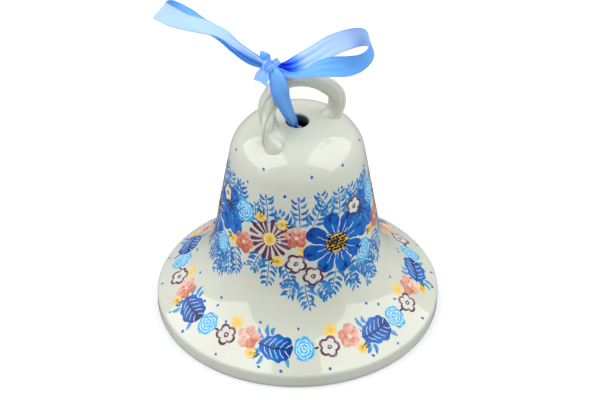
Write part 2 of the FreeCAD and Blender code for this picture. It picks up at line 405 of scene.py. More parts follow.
shell_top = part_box("bell_shell")[1] / MM
HOLE_RADIUS = 5.75
RIM_RADIUS = shell_top.x
CROWN_TOP = 113.3
OUTSIDE = Outline(
    [
        (HOLE_RADIUS, 110.0, 0),
        (HOLE_RADIUS, CROWN_TOP, 1.2),
        (31.6, 109.2, 21.0),
        (45.0, 26.2, 45.0),
        (RIM_RADIUS, 7.0, 1.8),
        (RIM_RADIUS, 0.0, 1.0),
        (70.5, 0.0, 0),
    ]
)
INSIDE = Outline(
    [
        (66.6, 0.0, 0),
        (66.0, 0.0, 0.9),
        (66.0, 4.0, 1.5),
        (40.6, 21.9, 50.0),
        (27.2, 104.2, 16.0),
        (HOLE_RADIUS, 107.6, 1.2),
        (HOLE_RADIUS, 110.0, 0),
    ]
)


def thrown(turn, length):
    """How far the hand-thrown wall stands off its ideal shape, in millimetres."""
    return (
        0.10 * math.sin(2 * turn + 0.7)
        + 0.05 * math.sin(3 * turn + length / 21 + 1.9)
        + 0.035 * math.sin(length / 3.1 + turn)
    )


def on_wall(turn, length, lift=0.0):
    """A point on the bell's outside, at this turn in radians and this length down from the hole."""
    flat, travel = OUTSIDE.at(length)
    outward = Vector((-travel.y, travel.x))
    flat = flat + outward * (lift + thrown(turn, length))
    return upright(flat.x, turn, flat.y)


def wall_normal(turn, length):
    step = 0.35
    around = on_wall(turn + step / 40, length) - on_wall(turn - step / 40, length)
    down = on_wall(turn, length + step) - on_wall(turn, length - step)
    return unit(down.cross(around))


def radius_length(radius):
    """The length down the outside at which it reaches this radius."""
    low, high = 0.0, OUTSIDE.lengths[-1]
    while high - low > 0.01:
        middle = (low + high) / 2
        low, high = (middle, high) if OUTSIDE.at(middle)[0].x < radius else (low, middle)
    return low


AROUND = 288  # points in each ring of the wall
SPACING = 0.9  # between the rings outside, and twice as far apart inside


def make_shell(glaze):
    """The bell's wall: the glazed outside and inside in one closed skin, with a bare foot ring."""
    steps = int(OUTSIDE.lengths[-1] / SPACING)
    rows = []
    for step in range(steps + 1):
        length = OUTSIDE.lengths[-1] * step / steps
        rows.append([on_wall(turn, length) for turn in turns(AROUND)])
    outside_rows = len(rows)
    steps = int(INSIDE.lengths[-1] / (2 * SPACING))
    for step in range(steps):
        point, _ = INSIDE.at(INSIDE.lengths[-1] * step / steps)
        rows.append([upright(point.x, turn, point.y) for turn in turns(AROUND)])
    # painted shade: how dark the wall inside the crown hole is painted, growing from its top edge
    # downwards
    hollow = []
    for row in rows:
        in_hole = row[0].xy.length < HOLE_RADIUS + 1.4
        depth = smooth(CROWN_TOP - 0.4, CROWN_TOP - 1.8, row[0].z) if in_hole else 0.0
        hollow += [depth] * AROUND
    points = [point for row in rows for point in row]
    faces = [(a, d, c, b) for a, b, c, d in ring_faces(len(rows), AROUND, closed=True)]
    shell = make_piece(
        "bell_wall", points, faces, glaze, "bell", "glazed_ceramic", "bell_shell", hollow=hollow
    )
    shell.data.materials.append(clay_material())
    for face in shell.data.polygons:
        if outside_rows - 2 <= face.index // AROUND <= outside_rows:
            face.material_index = 1


# ---- painting on the wall


def inside(outline, point):
    """Whether a point lies inside a closed outline."""
    hit = False
    for start, end in zip(outline, outline[1:] + outline[:1]):
        if (start.y > point.y) != (end.y > point.y):
            crossing = start.x + (point.y - start.y) / (end.y - start.y) * (end.x - start.x)
            hit ^= point.x < crossing
    return hit


class Spot:
    """A place on the wall to paint at: local x runs round the bell, y runs up, in millimetres."""

    def __init__(self, degrees, length, spin=0.0, scale=1.0):
        self.turn = math.radians(degrees)
        self.length = length
        self.spin = math.radians(spin)
        self.scale = scale

    def locate(self, point):
        """Turn and length on the wall for a local point."""
        turned = Matrix.Rotation(self.spin, 2) @ (Vector(point) * self.scale)
        length = self.length - turned.y
        radius = OUTSIDE.at(length)[0].x
        return self.turn + turned.x / radius, length

    def shifted(self, x, y, spin=0.0, scale=1.0):
        """Another spot, at a local point of this one."""
        turn, length = self.locate((x, y))
        return Spot(math.degrees(turn), length, math.degrees(self.spin) + spin, self.scale * scale)


class Paint:
    """All the strokes of one colour, as thin closed films on the glaze."""

    SINK = 0.06  # how far a film's underside sits below the surface
    LOWEST, LAYER = 0.03, 0.022  # how far layer 0 stands above it, and each next layer above the last
    GRID = 1.5  # spacing of the points that bend a wide stroke round the wall
    SHAKE = 0.45  # how far a hand-painted edge strays
    WAVER = 0.55  # how quickly it strays, per millimetre

    def __init__(self, name):
        self.name = name
        self.points, self.normals, self.faces, self.tones = [], [], [], []
        self.face_normals = []

    def add_face(self, corners, sign=1):
        self.faces.append(corners)
        self.face_normals.append(sign)

    def inner_points(self, outline, grid):
        """Points on a grid inside an outline, or none if it is narrow."""
        low_x, high_x = min(p.x for p in outline), max(p.x for p in outline)
        low_y, high_y = min(p.y for p in outline), max(p.y for p in outline)
        found = []
        if high_x - low_x <= 2 * grid or high_y - low_y <= 2 * grid:
            return found
        for row in range(1, int((high_y - low_y) / grid) + 1):
            for column in range(1, int((high_x - low_x) / grid) + 1):
                shift = 0.5 * (row % 2)
                point = Vector((low_x + (column - shift) * grid, low_y + row * grid))
                clear = min((point - edge).length for edge in outline) > 0.35 * grid
                if clear and inside(outline, point):
                    found.append(point)
        return found

    def fill(self, spot, outline, layer=0, tone=0.5, steady=1.0):
        """A filled outline. The tone is a number or a function of the local point.

        layer says what it lies on, and a steady below 1 has a cleaner edge.
        """
        seed = Vector((rng.uniform(0, 99), rng.uniform(0, 99), 0))
        stray = self.SHAKE * steady
        shake = [noise.noise_vector(Vector((*point, 0)) * self.WAVER + seed) * stray for point in outline]
        outline = [point + move.xy for point, move in zip(outline, shake)]
        flat = outline + self.inner_points(outline, self.GRID / spot.scale)
        flat, _, triangles, *_ = delaunay_2d_cdt(flat, [], [list(range(len(outline)))], 1, 1e-5)
        top = len(self.points)
        bottom = top + len(flat)
        for level in (self.LOWEST + self.LAYER * layer, -self.SINK):
            for point in flat:
                turn, length = spot.locate(point)
                self.points.append(on_wall(turn, length, level))
                self.tones.append(tone(point) if callable(tone) else tone)
        self.normals += [wall_normal(*spot.locate(point)) for point in flat] * 2
        edges = []
        for a, b, c in triangles:
            if (flat[b] - flat[a]).cross(flat[c] - flat[a]) < 0:
                b, c = c, b
            self.add_face((top + a, top + b, top + c))
            self.add_face((bottom + a, bottom + c, bottom + b), -1)
            edges += [(a, b), (b, c), (c, a)]
        known = set(edges)
        for a, b in edges:
            if (b, a) not in known:
                self.add_face((top + a, bottom + a, bottom + b, top + b))

    def stroke(self, spot, path, widths, layer=0, tone=0.5):
        """A brush stroke along a path of local points, with a width at each."""
        left, right = [], []
        last = len(path) - 1
        for index, point in enumerate(path):
            along = path[min(index + 1, last)] - path[max(index - 1, 0)]
            side = unit(Vector((-along.y, along.x))) * (widths[index] / 2)
            left.append(point + side)
            right.append(point - side)
        self.fill(spot, right + left[::-1], layer, tone)

    def leaflet(self, spot, base, tip, width, layer=0, tone=0.5, bend=0.0):
        """One press of a round brush: pointed where it starts and full near its end."""
        along = tip - base
        side = Vector((-along.y, along.x)) / max(along.length, 1e-6)
        path, widths = [], []
        for share in (0.0, 0.22, 0.5, 0.78, 0.93, 1.0):
            path.append(base + along * share + side * (bend * math.sin(math.pi * share)))
            widths.append(width * (0.16 + 0.84 * math.sin(math.pi * share**0.75) ** 0.8))
        self.stroke(spot, path, widths, layer, tone)

    def finish(self, material):
        piece = make_piece(
            self.name, self.points, self.faces, material, "bell", "glazed_ceramic", tone=self.tones
        )
        corners = []
        for face, sign in zip(piece.data.polygons, self.face_normals):
            corners += [self.normals[corner] * sign for corner in face.vertices]
        piece.data.normals_split_custom_set(corners)


PAINT_COLOURS = {  # light, body and dark
    "cobalt": ((20, 122, 200), (0, 78, 168), (0, 30, 108)),
    "fern": ((106, 176, 220), (36, 118, 184), (0, 66, 148)),
    "cyan": ((160, 218, 240), (72, 182, 232), (24, 140, 214)),
    "coral": ((236, 206, 190), (202, 112, 88), (138, 56, 40)),
    "yellow": ((238, 216, 144), (224, 184, 76), (168, 116, 26)),
    "mauve": ((150, 108, 134), (106, 56, 84), (70, 24, 48)),
    "white": ((226, 229, 221), (206, 209, 198), (194, 198, 186)),
    "dark": ((60, 92, 70), (28, 48, 62), (10, 16, 28)),
}
PAINTS = {name: Paint(f"paint_{name}") for name in PAINT_COLOURS}


def blob(spot, paint, radius, lobes, notch, layer, tone, stretch=1.0, steady=1.0):
    """A round shape with this many lobes. The notch is how deep the lobes part, as a share."""
    start = rng.uniform(0, 2 * math.pi)
    drift = [rng.uniform(0.95, 1.05) for _ in range(lobes)]

    def radius_at(turn):
        wave = abs(math.cos(lobes * (turn - start) / 2)) ** 0.6
        lobe = int(((turn - start) / (2 * math.pi) * lobes + 0.5) % lobes)
        return radius * (1 - notch + notch * wave) * mix(1.0, drift[lobe], wave)

    outline = []
    for turn in turns(lobes * 9):
        point = polar(radius_at(turn), turn)
        outline.append(Vector((point.x * stretch, point.y)))
    PAINTS[paint].fill(spot, outline, layer, tone, steady)


def ellipse(spot, paint, width, height, layer, tone, middle=(0, 0)):
    """An oval, with fewer points when it is small."""
    outline = [
        Vector((middle[0] + width / 2 * math.cos(turn), middle[1] + height / 2 * math.sin(turn)))
        for turn in turns(10 if max(width, height) < 2.5 else 26)
    ]
    PAINTS[paint].fill(spot, outline, layer, tone)


def brush(spot, paint, points, width, layer, tone, steps=7):
    """A thin stroke along a smooth path, pointed at both ends."""
    points = [Vector(point) for point in points]
    path, widths = [], []
    for step in range(steps):
        share = step / (steps - 1)
        path.append(spline(points, share))
        widths.append(width * (0.3 + 0.7 * math.sin(math.pi * mix(0.12, 0.88, share))))
    PAINTS[paint].stroke(spot, path, widths, layer, tone)


def dot(spot):
    ellipse(spot, "cobalt", rng.uniform(1.35, 1.65), rng.uniform(1.5, 1.9), 0, rng.uniform(0.2, 0.4))


def berry(spot, size, leaf_heading=None):
    """A yellow berry with an ochre heart, and a dark leaf stroke beside it when it has a heading."""
    heart = 0.2 if leaf_heading is None else 0.75
    shade = lambda point: 0.25 + heart * (1 - smooth(0.0, size * 0.34, point.length))
    ellipse(spot, "yellow", size, size * 0.95, 1, shade)
    if leaf_heading is None:
        return
    turned = spot.shifted(0, 0, leaf_heading)
    brush(turned, "dark", [(size * 0.3, -0.4), (size * 0.62, 0.2), (size * 0.8, 1.6)], 0.9, 2, 0.3)
    brush(turned, "dark", [(size * 0.2, 0.5), (size * 0.45, 1.6), (size * 0.4, 2.8)], 0.7, 2, 0.6)


def outlined_blossom(spot, radius):
    """A white blossom with five petals, a mauve outline and a mauve ring at its heart.

    Both blobs make the same random draws, so that the outline is even.
    """
    spun = spot.shifted(0, 0, rng.uniform(0, 72))
    state = rng.getstate()
    tone = lambda point: 0.55 + 0.35 * math.sin(point.x * 0.8 + point.y * 0.5)
    blob(spun, "mauve", radius, 5, 0.32, 3, tone, steady=0.3)
    rng.setstate(state)
    blob(spun, "white", radius - 1.4, 5, 0.38, 4, 0.55, steady=0.3)
    ellipse(spun, "mauve", 2.6, 2.6, 5, 0.5)
    ellipse(spun, "white", 0.9, 0.9, 6, 0.3)


def coral_blossom(spot, radius, depth):
    """A watery five-petalled blossom with a white eye, darker on one side. depth is its middle tone."""
    lean = rng.uniform(0, 2 * math.pi)
    side = polar(1.0, lean)
    tone = lambda point: depth + 0.10 * point.dot(side) / radius * 2 + 0.08 * math.sin(point.x * 2.1)
    blob(spot, "coral", radius, 5, 0.34, 1, tone)
    for petal in range(5):
        turn = lean + petal * 2 * math.pi / 5
        brush(spot, "coral", [polar(1.6, turn), polar(3.8, turn + 0.12)], 0.5, 2, depth + 0.35, 4)
    ellipse(spot, "white", 1.9, 1.9, 3, 0.3)
    ellipse(spot, "coral", 0.7, 0.7, 4, 0.3)


def rose(spot, tall=1.0):
    """A ruffled cyan rose: a pale ground, three rings of arced petals and a curled heart."""
    radius = 5.9
    washes = (("cyan", 0, 0.85, 2, 0.75), ("white", -0.75, 0.42, 3, 0.0))
    blob(spot, "cyan", radius, 7, 0.22, 1, lambda point: 0.20 + 0.05 * point.length, stretch=1 / tall)
    start = rng.uniform(0, 1.0)
    for ring, (reach, count, span) in enumerate(((0.82, 6, 0.82), (0.56, 5, 0.95), (0.3, 3, 1.5))):
        for turn in turns(count):
            middle = start + ring * 0.5 + turn
            for paint, shift, width, layer, tone in washes:
                arc = []
                for place, bulge in ((-0.5, 0.94), (-0.25, 1.02), (0, 1.05), (0.25, 1.02), (0.5, 0.94)):
                    point = polar((radius * reach + shift) * bulge, middle + place * span)
                    arc.append((point.x / tall, point.y))
                brush(spot, paint, arc, width * rng.uniform(0.85, 1.15), layer, tone)
    ellipse(spot, "cyan", 1.5, 1.2, 4, 0.7)


def fern(spot, length, spread=6.4, pairs=5):
    """A sprig of leaf strokes in pairs along a thin stem that grows up the wall."""
    tone = 0.48
    bend = rng.uniform(-0.10, 0.10)
    heights = [length * share for share in (0, 0.35, 0.7, 0.96)]
    stem = [Vector((bend * height * height / length * 2.2, height)) for height in heights]
    brush(spot, "fern", stem, 0.6, 0, tone + 0.1, 8)
    for pair in range(pairs):
        share = (pair + 0.35) / (pairs + 0.1)
        root = spline(stem, share)
        reach = spread * (1 - 0.5 * share) * rng.uniform(0.85, 1.15)
        for side in (-1, 1):
            base = root + Vector((side * 0.45, rng.uniform(-0.2, 0.6) + 0.5 * (side > 0)))
            lean = math.radians(rng.uniform(32, 52))
            tip = base + Vector((side * math.cos(lean), math.sin(lean))) * reach
            width = mix(1.8, 1.5, share)
            shade = tone + rng.uniform(-0.15, 0.2)
            PAINTS["fern"].leaflet(spot, base, tip, width, 0, shade, bend=-side * 0.17 * reach)
    top = spline(stem, 1.0)
    PAINTS["fern"].leaflet(spot, top, top + Vector((bend, 2.4)), 1.2, 0, tone)


def petal_outline(start, length, width, fullness=0.22):
    """A petal that leaves the centre at this distance and swells towards its rounded end."""
    outline = []
    wave = rng.uniform(0, 2 * math.pi)
    for turn in turns(30):
        along = start + length / 2 * (1 + math.cos(turn)) + 0.16 * math.sin(3 * turn + wave)
        across = width / 2 * 1.22 * math.sin(turn) * (1 - fullness + fullness * math.cos(turn))
        outline.append(Vector((along, across)))
    return outline


def anemone(spot):
    """The big cobalt flower: eight broad petals with white veins round a seeded yellow heart."""
    wide, tall = 1.08, 0.96
    root = 4.2
    for petal in range(8):
        turn = 360 * petal / 8 + 12 + rng.uniform(-3, 3)
        length = 12.0 * rng.uniform(0.95, 1.04)
        turned = spot.shifted(0, 0, turn)
        side = math.radians(turn)
        stretched = length * math.hypot(wide * math.cos(side), math.sin(side) * tall)
        outline = petal_outline(root, stretched, 8.5)
        tip = root + stretched
        base = 0.42 + 3 * (0.04 * math.cos(side - 2.2) + rng.uniform(-0.04, 0.04))
        tone = lambda point: base + 0.30 * smooth(tip - 3.0, tip, point.x) - 0.1 * abs(point.y) / 4
        PAINTS["cobalt"].fill(turned, outline, 3, tone)
        shadow = Vector((tip - 1.2, 0.3)), Vector((tip - 4.4, 0.9))
        PAINTS["cobalt"].leaflet(turned, *shadow, 1.6, 4, 0.95)
        for bend, reach, width in ((0.04, 0.5, 0.27), (-0.30, 0.3, 0.24)):
            reach *= length * rng.uniform(0.85, 1.15)
            vein = [(4.6, bend * 2.6), (4.6 + reach * 0.5, bend * 5), (4.6 + reach, bend * 8.2)]
            brush(turned, "white", vein, width, 5, 0.3)
        edge = spot.shifted(0, 0, turn + 22.5)
        brush(edge, "white", [(7.6, 0.0), (10.0, rng.uniform(-0.3, 0.3)), (12.4, 0.0)], 0.42, 5, 0.0)
    flat = 1.2
    blob(spot, "dark", 5.2, 12, 0.10, 6, 0.75, stretch=flat)
    blob(spot, "yellow", 4.8, 12, 0.08, 7, 0.55, stretch=flat)
    spacing = 1.72
    for row in range(-3, 4):
        for column in range(-4, 5):
            seed = Vector(((column + 0.5 * (row % 2)) * spacing * 1.05, row * spacing * 0.87))
            if math.hypot(seed.x / flat, seed.y) < 4.4:
                jitter = Vector((rng.uniform(-0.12, 0.12), rng.uniform(-0.12, 0.12)))
                ellipse(spot, "dark", 1.86, 1.54, 8, 0.95, tuple(seed + jitter))


def daisy(spot):
    """Many narrow mauve petals round a yellow oval heart."""
    count = 17
    root, half = 3.0, 1.05
    for petal in range(count):
        turn = 360 * petal / count + rng.uniform(-2.5, 2.5)
        length = 10.8 * rng.uniform(0.9, 1.03)
        middle = root + (length - root) * 0.5
        edge = ((root, 0.35), (middle, half * 0.72), (length - 0.9, half), (length - 0.15, half * 0.62))
        outline = [Vector((x, -y)) for x, y in edge] + [Vector((length, 0.0))]
        outline += [Vector(place) for place in edge[::-1]]
        base = rng.uniform(0.25, 0.6)
        tone = lambda point: base + 0.25 * smooth(4, length, point.x)
        PAINTS["mauve"].fill(spot.shifted(0, 0, turn), outline, 1, tone)
    shade = lambda point: 0.2 + 0.7 * (1 - smooth(0.0, 2.6, point.length))
    ellipse(spot, "yellow", 6.2, 6.8, 2, shade)


LEAF_SPRIGS = (  # where each sprig beside a garland leaf starts and ends
    ((-6.8, -3.0), (-10.6, -7.4)),
    ((-5.2, -4.4), (-7.2, -9.4)),
    ((-6.6, -1.6), (-10.8, -3.6)),
    ((-6.4, 2.8), (-9.4, 7.4)),
    ((-4.4, 4.6), (-5.6, 9.8)),
    ((-2.4, 5.6), (-2.4, 9.2)),
    ((5.0, -4.0), (7.8, -8.0)),
)


def garland_leaf(spot):
    """A cobalt leaf laid along the garland, with a dark midrib, white veins and pale sprigs."""
    outline = []
    for turn in turns(44):
        ruffle = 0.55 * math.sin(9 * turn) * smooth(0.15, 0.6, abs(math.sin(turn)))
        across = (6.3 + ruffle) * math.sin(turn) * (1.0 + 0.16 * math.cos(turn))
        outline.append(Vector((8.0 * math.cos(turn), across)))
    base = 0.42 + rng.uniform(-0.18, 0.12)
    tone = lambda p: base + 0.42 * smooth(0.0, 7.0, p.x) - 0.18 * smooth(0.5, 5.5, abs(p.y))
    PAINTS["cobalt"].fill(spot, outline, 1, tone)
    brush(spot, "dark", [(-8.6, 0.5), (-3, -0.3), (3, 0.2), (7.4, 0.9)], 0.6, 3, 0.6, 10)
    for side in (-1, 1):
        for vein in range(5):
            start = -5.4 + 2.5 * vein
            reach = 4.6 - 0.28 * (vein - 1.6) ** 2
            path = [(start, side * 0.5), (start + 0.9, side * reach * 0.55), (start + 2.6, side * reach)]
            brush(spot, "white", path, 0.3, 2, 0.3)
    for root, tip in LEAF_SPRIGS:
        PAINTS["fern"].leaflet(spot, Vector(root), Vector(tip), 2.0, 0, 0.35, bend=0.7)


BLOOM_PETALS = (  # heading in degrees, length and width
    (112, 10.5, 8.5),
    (158, 8.5, 8.0),
    (205, 11.0, 8.5),
    (62, 11.5, 8.0),
    (18, 12.5, 8.5),
    (-108, 17.0, 9.5),
    (-22, 14.5, 9.0),
    (-66, 18.0, 10.0),
)


def big_bloom(spot):
    """A wide blue flower seen from its side, hung over by dark stamens."""
    middle = Vector((-1.5, 4.0))
    for degrees, length, width in BLOOM_PETALS:
        turned = spot.shifted(*middle, degrees)
        tone = lambda point: 0.44 + 0.22 * smooth(length - 5, length, point.x) - 0.05 * abs(point.y)
        PAINTS["cobalt"].fill(turned, petal_outline(-1.5, length, width, 0.12), 1, tone)
        for bend in (-0.24, 0.2):
            vein = [(2.5, bend * 2), (length * 0.45, bend * 5.5), (length * 0.8, bend * 9.5)]
            brush(turned, "fern", vein, 0.3, 2, 0.1)
        brush(turned, "cobalt", [(2.0, 0.9), (length * 0.7, 1.6)], 0.9, 2, 1.0)
    for stamen in range(9):
        turn = math.radians(stamen * 40 + rng.uniform(-9, 9))
        end = middle + polar(rng.uniform(3.2, 4.8), turn + 0.15)
        brush(spot, "dark", [middle + polar(0.5, turn), end], 0.42, 3, 0.85, 5)
        ellipse(spot, "dark", 0.9, 0.8, 3, 0.7, tuple(end))


def wall_spot(degrees, height, spin=0.0, scale=1.0):
    return Spot(degrees, OUTSIDE.length_at_height(height), spin, scale)


def flange_spot(degrees, radius, spin=0.0, scale=1.0):
    return Spot(degrees, radius_length(radius), spin, scale)


WAIST_REPEATS = 3
FLANGE_REPEATS = 7
FLANGE_START = -49.0
# Each sprig is a place to root, in degrees and height, a lean in degrees and a length.
UPPER_FERNS = (
    (-113, 74, 4, 15), (-121, 72, 24, 11), (-88, 73.5, 0, 16), (-97, 72, 22, 11),
    (-78, 74, -28, 13), (-64, 78, 12, 14), (-55, 77, -8, 13), (-47, 74, -32, 11),
    (-157, 78, 6, 12), (-142, 79, -4, 11), (-30, 76, -14, 12),
)
LOWER_FERNS = (
    (-110, 55.5, 176, 15), (-100, 54, 204, 12), (-117, 57, 152, 11), (-85, 42.5, 182, 13),
    (-77, 43, 212, 11), (-93, 45, 158, 9), (-62, 47, 166, 13), (-53, 47, 190, 14),
    (-44, 48, 214, 12), (-36, 45, 186, 13), (-27, 49, 200, 12), (-152, 54, 176, 21),
    (-160, 54, 160, 19), (-141, 54, 196, 14),
)
# Each dot is an angle in degrees, and a height on the waist or a radius on the flange.
WAIST_DOTS = (
    (-164, 101.5), (-123, 101.8), (-77, 100.8), (-136, 92.5), (-101, 90.6), (-50, 91.6),
    (-130, 47.5), (-101, 41.5), (-71, 39.0),
)
SKIRT_DOTS = ((-139, 50.0), (-111, 52.5), (-129, 56.0), (-74, 54.0), (-47, 50.5), (-28, 55.5))
FLANGE_DOTS = ((4.5, 70.2), (24.5, 70.0), (45.0, 69.6), (11.0, 53.0))


def scatter_dots(dots, spot_at, turn, stray):
    for degrees, place in dots:
        dot(spot_at(degrees + turn + rng.uniform(-1, 1), place + rng.uniform(-stray, stray)))


def waist_band(turn):
    """One repeat of the flower band round the waist, with sprigs above and below it."""
    for degrees, height, lean, length in UPPER_FERNS:
        fern(wall_spot(degrees + turn, height, lean), length)
    for degrees, height, lean, length in LOWER_FERNS:
        fern(wall_spot(degrees + turn, height, lean), length, 6.0, pairs=7 if length > 15 else 5)
    big_bloom(wall_spot(-149.5 + turn, 70.0, 14))
    rose(wall_spot(-135 + turn, 76.4, 10, 1.08))
    rose(wall_spot(-36 + turn, 50.5, 0, 1.08))
    berry(wall_spot(-101.5 + turn, 75.2), 6.2, -20)
    berry(wall_spot(-104 + turn, 54.4), 6.4, 170)
    berry(wall_spot(-119.5 + turn, 77), 5.6, 60)
    berry(wall_spot(-86.5 + turn, 60.5), 5.4)
    berry(wall_spot(-143.5 + turn, 57), 5.8, 150)
    coral_blossom(wall_spot(-90.5 + turn, 68.4), 6.3, 0.4)
    coral_blossom(wall_spot(-132.5 + turn, 59.2), 6.2, 0.52)
    daisy(wall_spot(-111 + turn, 66, 0, 1.1))
    anemone(wall_spot(-59.5 + turn, 62.2, 0, 1.08))
    outlined_blossom(wall_spot(-91 + turn, 53.8), 5.7)
    outlined_blossom(wall_spot(-79 + turn, 46.4), 5.7)
    outlined_blossom(wall_spot(-40 + turn, 77.5), 5.5)
    scatter_dots(WAIST_DOTS, wall_spot, turn, 0.6)
    scatter_dots(SKIRT_DOTS, flange_spot, turn, 0.5)


def flange_garland(turn):
    """One repeat of the garland round the flange."""
    garland_leaf(flange_spot(turn, 60.8, rng.uniform(-6, 10), 1.1))
    rose(flange_spot(turn + 13.6, 60.8, 0, 1.12), tall=1.18)
    brush(flange_spot(turn + 19.6, 60.6), "dark", [(-1.0, -0.3), (1.0, 0.2)], 1.2, 4, 0.8, 4)
    outlined_blossom(flange_spot(turn + 25.8, 60.9), 5.8)
    berry(flange_spot(turn + 28.0, 54.6), 7.0)
    coral_blossom(flange_spot(turn + 37.2, 58.6), 6.5, 0.3)
    berry(flange_spot(turn + 40.6, 64.8), 5.8, -10)
    for degrees, radius in FLANGE_DOTS:
        dot(flange_spot(turn + degrees + rng.uniform(-1.5, 1.5), radius))


def paint_the_bell():
    """Lays every stroke out, then makes one piece of each colour."""
    for repeat in range(WAIST_REPEATS):
        waist_band(360 / WAIST_REPEATS * repeat)
    for repeat in range(FLANGE_REPEATS):
        flange_garland(FLANGE_START + 360 / FLANGE_REPEATS * repeat)
    for name, colours in PAINT_COLOURS.items():
        PAINTS[name].finish(paint_material(f"{name}_paint", *colours))


# ---- handle

HANDLE_HEADING = 25.0
# The strap's middle: distance across the bell and height, from its right foot over the top.
ARCH = (
    (17.4, 108.4), (20.6, 113.5), (21.9, 119.0), (20.0, 125.0), (13.5, 131.6),
    (4.5, 136.8), (-4.5, 138.6), (-11.0, 136.0), (-14.9, 130.2),
)
LEG = (Vector((-15.0, -7.6, 124.2)), Vector((-14.4, -9.4, 119.6)))
# Where the left foot is smeared on the crown: across, along and above its surface.
SMEAR = ((-12.7, -11.3, 3.5), (-10.8, -12.8, 2.0), (-8.6, -14.2, 0.7), (-6.4, -15.0, -0.9))
TWIST_ENDS = 0.8  # how far along the strap its twist is complete
PRESSED = 0.5  # how far the pressed foot goes below the crown's surface


def on_crown(x, y, lift):
    """A point over the crown, this far above its surface."""
    return on_wall(math.atan2(y, x), radius_length(math.hypot(x, y)), lift)


HANDLE_PATH = [heading(HANDLE_HEADING) * across + UP * height for across, height in ARCH]
HANDLE_PATH += list(LEG) + [on_crown(*place) for place in SMEAR]


def handle_frame(share):
    """The strap's middle and its direction, at this share of the way along it."""
    step = 0.004
    ahead, behind = spline(HANDLE_PATH, min(1, share + step)), spline(HANDLE_PATH, max(0, share - step))
    return spline(HANDLE_PATH, share), unit(ahead - behind)


def peak(share, place, width):
    """1 at this place along the strap, fading to 0 on both sides of it."""
    return math.exp(-(((share - place) / width) ** 2))


def strap_section(share):
    """The strap's width, thickness and groove depth at this share of its length, and how much is foot."""
    width = mix(9.2, 19.0, smooth(0.5, 0.92, share)) * (1 - 0.14 * peak(share, 0.36, 0.14))
    flattened = smooth(0.68, 0.96, share)
    thickness = mix(7.4 + 1.2 * smooth(0.35, 0.62, share), 2.6, flattened)
    foot = 1 - smooth(0.0, 0.085, share)
    end = math.sqrt(max(0.0, 1 - max(0.0, (share - 0.90) / 0.10) ** 2))
    width = (width + 3.2 * foot**2) * mix(0.5, 1.0, end)
    thickness = (thickness + 3.2 * foot**2) * mix(0.25, 1.0, end)
    depth = mix(0.3, 0.55, smooth(0.46, 0.66, share)) * (1 - 0.7 * foot) * mix(1.0, 0.6, flattened)
    return width, thickness, depth, foot


def strap_sides(rings):
    """The middle, the direction and an untwisted side of the strap at each ring, and its whole twist."""
    side = heading(HANDLE_HEADING + 90)
    frames = []
    for ring in range(rings):
        centre, tangent = handle_frame(ring / (rings - 1))
        side = unit(side - tangent * side.dot(tangent))
        frames.append((centre, tangent, side))
    flat = unit(tangent.cross(UP))
    landing = math.atan2(flat.dot(tangent.cross(side)), flat.dot(side))
    return frames, landing + 2 * math.pi


def make_handle(glaze):
    """A pulled strap with rounded grooves, twisted once along its length and smeared onto the crown."""
    rings, around = 170, 84
    frames, twist = strap_sides(rings)
    points, grooves = [], []
    for ring, (centre, tangent, side) in enumerate(frames):
        share = ring / (rings - 1)
        wide = Matrix.Rotation(min(1.0, share / TWIST_ENDS) * twist, 3, tangent) @ side
        thin = tangent.cross(wide)
        width, thickness, depth, foot = strap_section(share)
        press = smooth(0.74, 0.86, share)
        for turn in turns(around):
            cosine, sine = math.cos(turn), math.sin(turn)
            fold = math.cos(5 * turn + 0.9 * math.sin(2 * turn) + 0.4)
            groove = smooth(0.2, 1.0, fold)
            lump = 0.12 * noise.noise(centre * 0.09 + Vector((cosine, sine, 3.0)))
            shrink = 1 - depth * groove / (mix(width, thickness, abs(sine)) / 2 + 0.6) + lump * 0.5
            crest = 1 + 0.16 * peak(share, 0.25, 0.035) * max(0.0, cosine) ** 6
            out = wide * (width / 2 * abs(cosine) ** 0.92 * math.copysign(1, cosine) * crest * shrink)
            out += thin * (thickness / 2 * abs(sine) ** 0.92 * math.copysign(1, sine) * shrink)
            point = centre + out
            if press:
                under = max(smooth(0.2, -0.6, out.z), abs(cosine) ** 5)
                point = point.lerp(on_crown(point.x, point.y, -PRESSED), press * under)
            points.append(point)
            grooves.append(groove * min(1.0, depth / 0.8) * 0.8 + 0.55 * foot**3)
    faces = ring_faces(rings, around)
    make_piece(
        "twisted_handle", points, faces, glaze, "bell", "glazed_ceramic", "bell_handle", groove=grooves
    )


# ---- ribbon

KNOT = Vector((-13.5, -2.5, 146.5))
VIEW_RISE = 37.5  # how far above level the camera looks from: the ribbon is laid out facing it
RIGHT = Vector((1, 0, 0))
RISE = Vector((0, math.sin(math.radians(VIEW_RISE)), math.cos(math.radians(VIEW_RISE))))
NEAR = Vector((0, -math.cos(math.radians(VIEW_RISE)), math.sin(math.radians(VIEW_RISE))))
RIBBON_WIDTH = 10.5
RIBBON_THICKNESS = 0.34


def tilted(right, rise, near):
    return RIGHT * right + RISE * rise + NEAR * near


class Station:
    """Where the ribbon's middle is, the vector across it from edge to edge, and how it is gathered."""

    def __init__(self, centre, across, gather=0.0, cup=0.0):
        self.centre, self.across = Vector(centre), Vector(across)
        self.gather, self.cup = gather, cup


def from_knot(*rows):
    """Stations from rows of right, rise, near (all three from the knot), across, gather and cup."""
    return [
        Station(KNOT + tilted(right, rise, near), tilted(*across), *gathered)
        for right, rise, near, across, *gathered in rows
    ]


